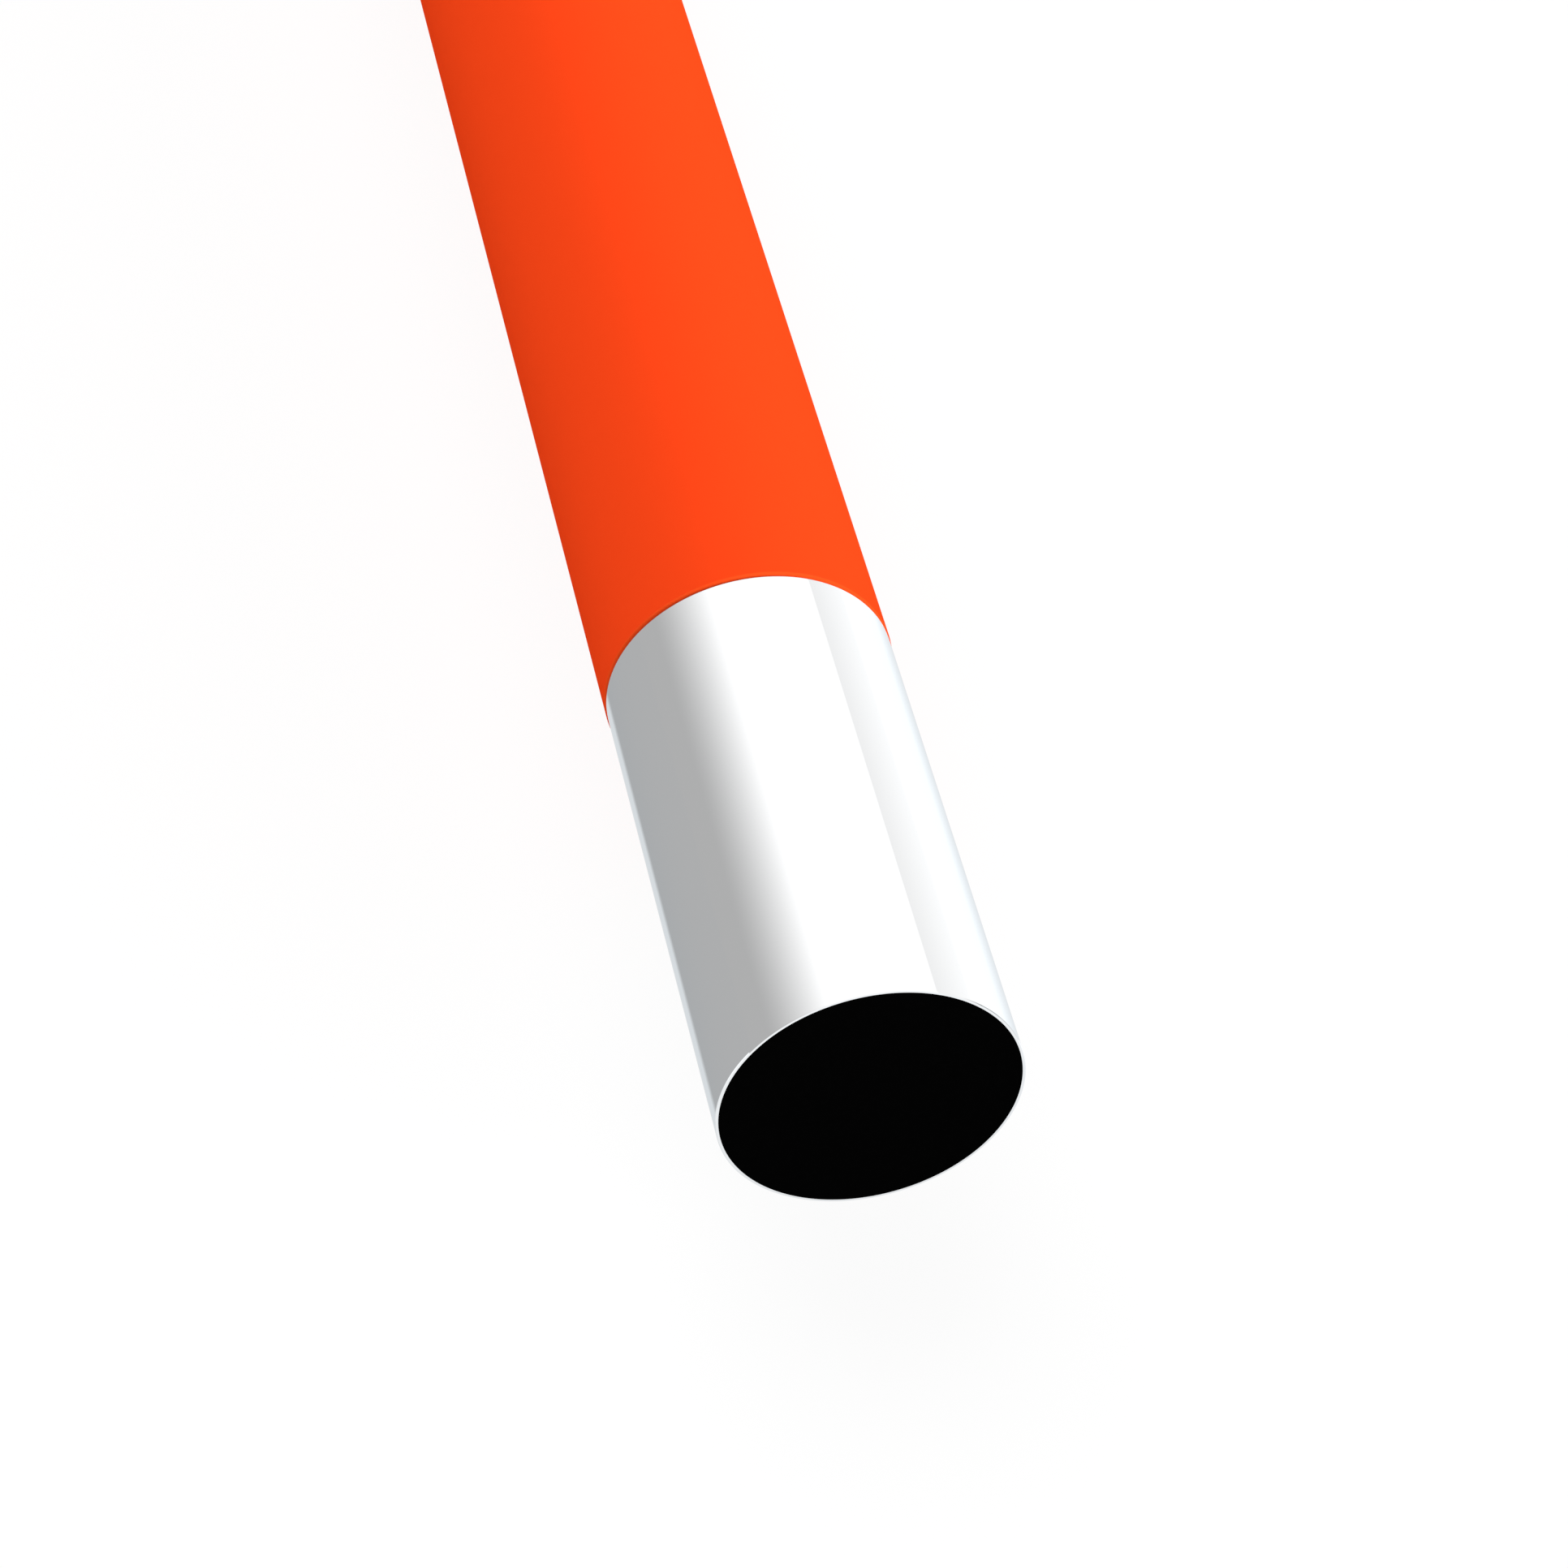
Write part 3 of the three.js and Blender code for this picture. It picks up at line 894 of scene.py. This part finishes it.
class CANE_OT_inner_parts(bpy.types.Operator):
    """Finishes the seals, wipers, locks and inner tube, whose shapes stay as packed"""

    bl_idname = "cane.inner_parts"
    bl_label = "Inner parts"

    def execute(self, context):
        rubber, nylon = seal_rubber(), natural_nylon()
        drawn = lined_metal(
            "bare_aluminium", ((0.62, 0.63, 0.65), (0.70, 0.71, 0.73)),
            scale=(25, 1800, 1800), roughness=0.24, strength=0.10)
        zinc = lined_metal(
            "zinc_steel", ((0.55, 0.56, 0.58), (0.66, 0.67, 0.69)),
            scale=(1500, 300, 300), roughness=0.30, strength=0.10)
        brass = lined_metal(
            "turned_brass", ((0.72, 0.50, 0.20), (0.80, 0.58, 0.26)),
            scale=(6000, 60, 60), roughness=0.20, strength=0.20)
        chosen = {"tip_seal": rubber, "lower_tube": drawn, "cap_pin": zinc}
        for lock in ("lower", "middle", "upper"):
            chosen.update({
                f"{lock}_wiper": rubber, f"{lock}_end_plug": nylon, f"{lock}_expander": nylon,
                f"{lock}_lock_stud": zinc, f"{lock}_stud_clip": zinc, f"{lock}_lock_cone": brass})
        for node, coat in chosen.items():
            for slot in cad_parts[node].material_slots:
                slot.material = coat
        return {"FINISHED"}


class CANE_OT_studio(bpy.types.Operator):
    """Sets up the floor, the lamps, the room and the camera"""

    bl_idname = "cane.studio"
    bl_label = "Studio"

    def execute(self, context):
        studio = context.scene.cane_studio
        self.floor(studio)
        self.room(context, studio)
        self.lamps(context, studio)
        self.camera(context, studio)
        return {"FINISHED"}

    def floor(self, studio):
        """A white floor that keeps a faint shadow. Glossy surfaces show painted shade and painted reflections
        in its place.
        """
        width, bounce = 60, 0.8
        bpy.ops.object.select_all(action="DESELECT")
        bpy.ops.mesh.primitive_plane_add(size=width, location=(0, 0, FLAT_Z))
        floor = bpy.context.object
        floor.name = "floor"
        place_applied(floor)
        made, paint = material("floor_white")
        camera_ray, glossy_ray = self.rays(paint)
        plain = paint.node("BsdfDiffuse", None, {"Color": (bounce, bounce, bounce, 1)})
        full = paint.node("BsdfDiffuse", None, {"Color": (1, 1, 1, 1)})
        white = paint.node("Emission", None, {"Color": (1, 1, 1, 1), "Strength": 1.0})
        # Glossy surfaces see the floor with painted shade and painted reflections.
        painted_reflection = paint.node("Emission", None, {"Color": self.painted_floor_in_gloss(paint), "Strength": 1.0})
        to_camera = paint.node("MixShader", None, {0: studio.shadow_share, 1: white, 2: full})
        shown = paint.node("MixShader", None, {0: camera_ray, 1: plain, 2: to_camera})
        paint.surface(paint.node("MixShader", None, {0: glossy_ray, 1: shown, 2: painted_reflection}))
        floor.data.materials.append(made)

    def painted_floor_in_gloss(self, paint):
        """The floor that glossy surfaces show, in levels that make the strips on the ferrule: painted shade
        and painted reflections.

        At the right and ahead of the tip it brightens away from the cane, a painted shadow of the cane; next
        to the cane at the left it keeps a darker level, painted shade. A darker grey at the left is a painted
        reflection that the camera never sees on the floor.
        Two painted grey cards, at the right and far along the cane, keep the metal apart from the white
        floor; they too show only in reflections.
        """
        sheet_from, sheet_edge, sheet_starts, painted_sheet_level = 0.0100, 0.0020, 0.001, 0.441
        # The level next to the cane at the left is painted shade.
        left = 0.765
        right_from, right_painted_shadow_level, right_slope, right_range = 0.0117, 0.845, 22.4, (0.80, 1.12)
        ahead_from, ahead_painted_shadow_level, ahead_slope, ahead_range = 0.0045, 0.82, 13.0, (0.82, 1.06)
        ahead_ends, painted_card_darkness = -0.002, 0.5
        side_card_from, side_card_edge, side_card_slant, side_card_end = 0.03, 0.05, 0.6, 0.02
        far_card_from, far_card_edge, far_card_side = 0.4, 0.1, -0.25

        x, y, _ = paint.split(paint.place())
        # A painted reflection: a flat grey at the left that only glossy surfaces see.
        painted_sheet = y.ramp(sheet_from, sheet_edge) * (x > sheet_starts)
        # Painted shadow: the reflected floor is darker near the cane, at the right and ahead of the tip.
        right = (right_painted_shadow_level + right_slope * (-1 * y - right_from)).kept(*right_range)
        ahead = (ahead_painted_shadow_level + ahead_slope * (-1 * x - ahead_from)).kept(*ahead_range)
        painted_shade_next_to_cane = (y > 0) * (left - right) + right
        around = (x > ahead_ends) * (painted_shade_next_to_cane - ahead) + ahead
        # Painted reflections of two grey cards that only glossy surfaces see.
        painted_side_card = (-1 * y).ramp(side_card_from, side_card_edge)
        painted_side_card = painted_side_card * (-side_card_slant * y - x).ramp(0, side_card_end)
        painted_far_card = x.ramp(far_card_from, far_card_edge) * (y > far_card_side)
        # The painted shadow and the painted cards darken the floor that glossy surfaces show.
        floor_with_painted_shade = around * (1 - painted_card_darkness * (painted_side_card + painted_far_card).kept())
        level = floor_with_painted_shade * (1 - painted_sheet) + painted_sheet_level * painted_sheet
        tint = paint.colour_mix(painted_sheet, (0.98, 1.0, 1.015), (0.995, 1.0, 1.005))
        return paint.node("VectorMath", {"operation": "SCALE"}, {0: tint, "Scale": level})

    def room(self, context, studio):
        """White to the camera, and soft and even on the cane. Glossy surfaces show softboxes in its place."""
        world = bpy.data.worlds.new("studio_room")
        context.scene.world = world
        world.use_nodes = True
        paint = Paint(world.node_tree)
        camera_ray, glossy_ray = self.rays(paint)
        soft = (1 - camera_ray) * (1 - glossy_ray) * studio.room_light
        strength = soft + camera_ray + glossy_ray * self.room_in_gloss(paint)
        background = paint.node("Background", None, {"Color": (1, 1, 1, 1), "Strength": strength})
        paint.node("OutputWorld", None, {"Surface": background})

    def room_in_gloss(self, paint):
        """The room that glossy surfaces show, by direction.

        Towards the cane's two ends that's a softbox overhead, dimmer at the left and with a darker wall low
        at the right. Everywhere else the room darkens towards its floor.
        """
        tilt = math.radians(11.3)
        box_level, box_rise, low_level, high_rise = 0.444, 0.63, 0.24, 0.81
        rise_from, rise_width, rise_power = math.radians(-61.5), math.radians(50), 1.5
        wall_from, wall_width, wall_darkness = math.radians(71.5), math.radians(35), 0.17
        along_from, along_edge = 0.40, 0.12

        x, y, z = paint.split(paint.node("TexCoord", out="Generated"))
        turn = tilt - paint.math("ARCTAN2", y, z)
        box = box_level + box_rise * turn.ramp(rise_from, rise_width) ** rise_power
        wall = (turn > wall_from) * (wall_darkness - wall_darkness * turn.ramp(wall_from, wall_width))
        along = paint.math("ABSOLUTE", x).ramp(along_from, along_edge)
        return along * (box - wall) + (1 - along) * (low_level + high_rise * z.kept())

    def rays(self, paint):
        """Whether a ray comes from the camera, and whether it left a glossy surface."""
        return [paint.node("LightPath", out=name) for name in ("Is Camera Ray", "Is Glossy Ray")]

    def lamps(self, context, studio):
        """Two very wide lamps, overhead and at the camera's right, that glossy surfaces don't show."""
        for name, strength, towards in (
            ("top_lamp", studio.top_light, (0.42, 0.08, 0.90)),
            ("side_lamp", studio.side_light, (-0.70, -0.70, 0.14)),
        ):
            lamp = bpy.data.lights.new(name, "SUN")
            lamp.energy = strength * math.pi
            lamp.angle = studio.lamp_spread
            holder = bpy.data.objects.new(name, lamp)
            context.scene.collection.objects.link(holder)
            holder.rotation_euler = Vector(towards).to_track_quat("Z", "Y").to_euler()
            holder.visible_glossy = False

    def camera(self, context, studio):
        """Looks down along the cane, from a place counted in the sleeve's radii."""
        unit, aside, above, back = radius_of("orange_sleeve"), -0.5436, 1.9606, 28.345
        sensor, nearest, farthest = 36.0, 0.01, 100.0
        right = Vector((-math.sin(studio.heading), -math.cos(studio.heading), 0))
        level = Vector((math.cos(studio.heading), -math.sin(studio.heading), 0))
        up = level * math.sin(studio.pitch) + Vector((0, 0, math.cos(studio.pitch)))
        forward = level * math.cos(studio.pitch) - Vector((0, 0, math.sin(studio.pitch)))
        data = bpy.data.cameras.new("camera")
        data.sensor_width, data.lens = sensor, studio.lens
        data.clip_start, data.clip_end = nearest, farthest
        data.dof.use_dof = False
        camera = bpy.data.objects.new("camera", data)
        context.scene.collection.objects.link(camera)
        turn = Matrix((right, up, -forward)).transposed().to_4x4()
        place = (right * aside + up * above - forward * back) * unit
        camera.matrix_world = Matrix.Translation(place) @ turn
        context.scene.camera = camera
        context.scene.view_settings.view_transform = "Standard"


class CANE_PT_panel(bpy.types.Panel):
    """Lists the cane's steps and settings in the sidebar"""

    bl_idname = "CANE_PT_panel"
    bl_label = "White Cane"
    bl_space_type = "VIEW_3D"
    bl_region_type = "UI"
    bl_category = "White Cane"

    def draw(self, context):
        for group in (context.scene.cane_sizes, context.scene.cane_colours, context.scene.cane_studio):
            column = self.layout.column(align=True)
            for name in group.__annotations__:
                column.prop(group, name)
        for step in STEPS:
            self.layout.operator(step.bl_idname)


STEPS = (
    CANE_OT_tip, CANE_OT_sleeve, CANE_OT_tubes, CANE_OT_collars, CANE_OT_grip, CANE_OT_cap,
    CANE_OT_inner_parts, CANE_OT_studio)
CLASSES = (CaneSizes, CaneColours, StudioSettings, *STEPS, CANE_PT_panel)


def register():
    for item in CLASSES:
        bpy.utils.register_class(item)
    bpy.types.Scene.cane_sizes = PointerProperty(type=CaneSizes)
    bpy.types.Scene.cane_colours = PointerProperty(type=CaneColours)
    bpy.types.Scene.cane_studio = PointerProperty(type=StudioSettings)


def unregister():
    del bpy.types.Scene.cane_studio, bpy.types.Scene.cane_colours, bpy.types.Scene.cane_sizes
    for item in reversed(CLASSES):
        bpy.utils.unregister_class(item)


def main():
    register()
    bpy.ops.cane.tip()
    bpy.ops.cane.sleeve()
    bpy.ops.cane.tubes()
    bpy.ops.cane.collars()
    bpy.ops.cane.grip()
    bpy.ops.cane.cap()
    bpy.ops.cane.inner_parts()
    bpy.ops.cane.studio()


if __name__ == "__main__":
    main()
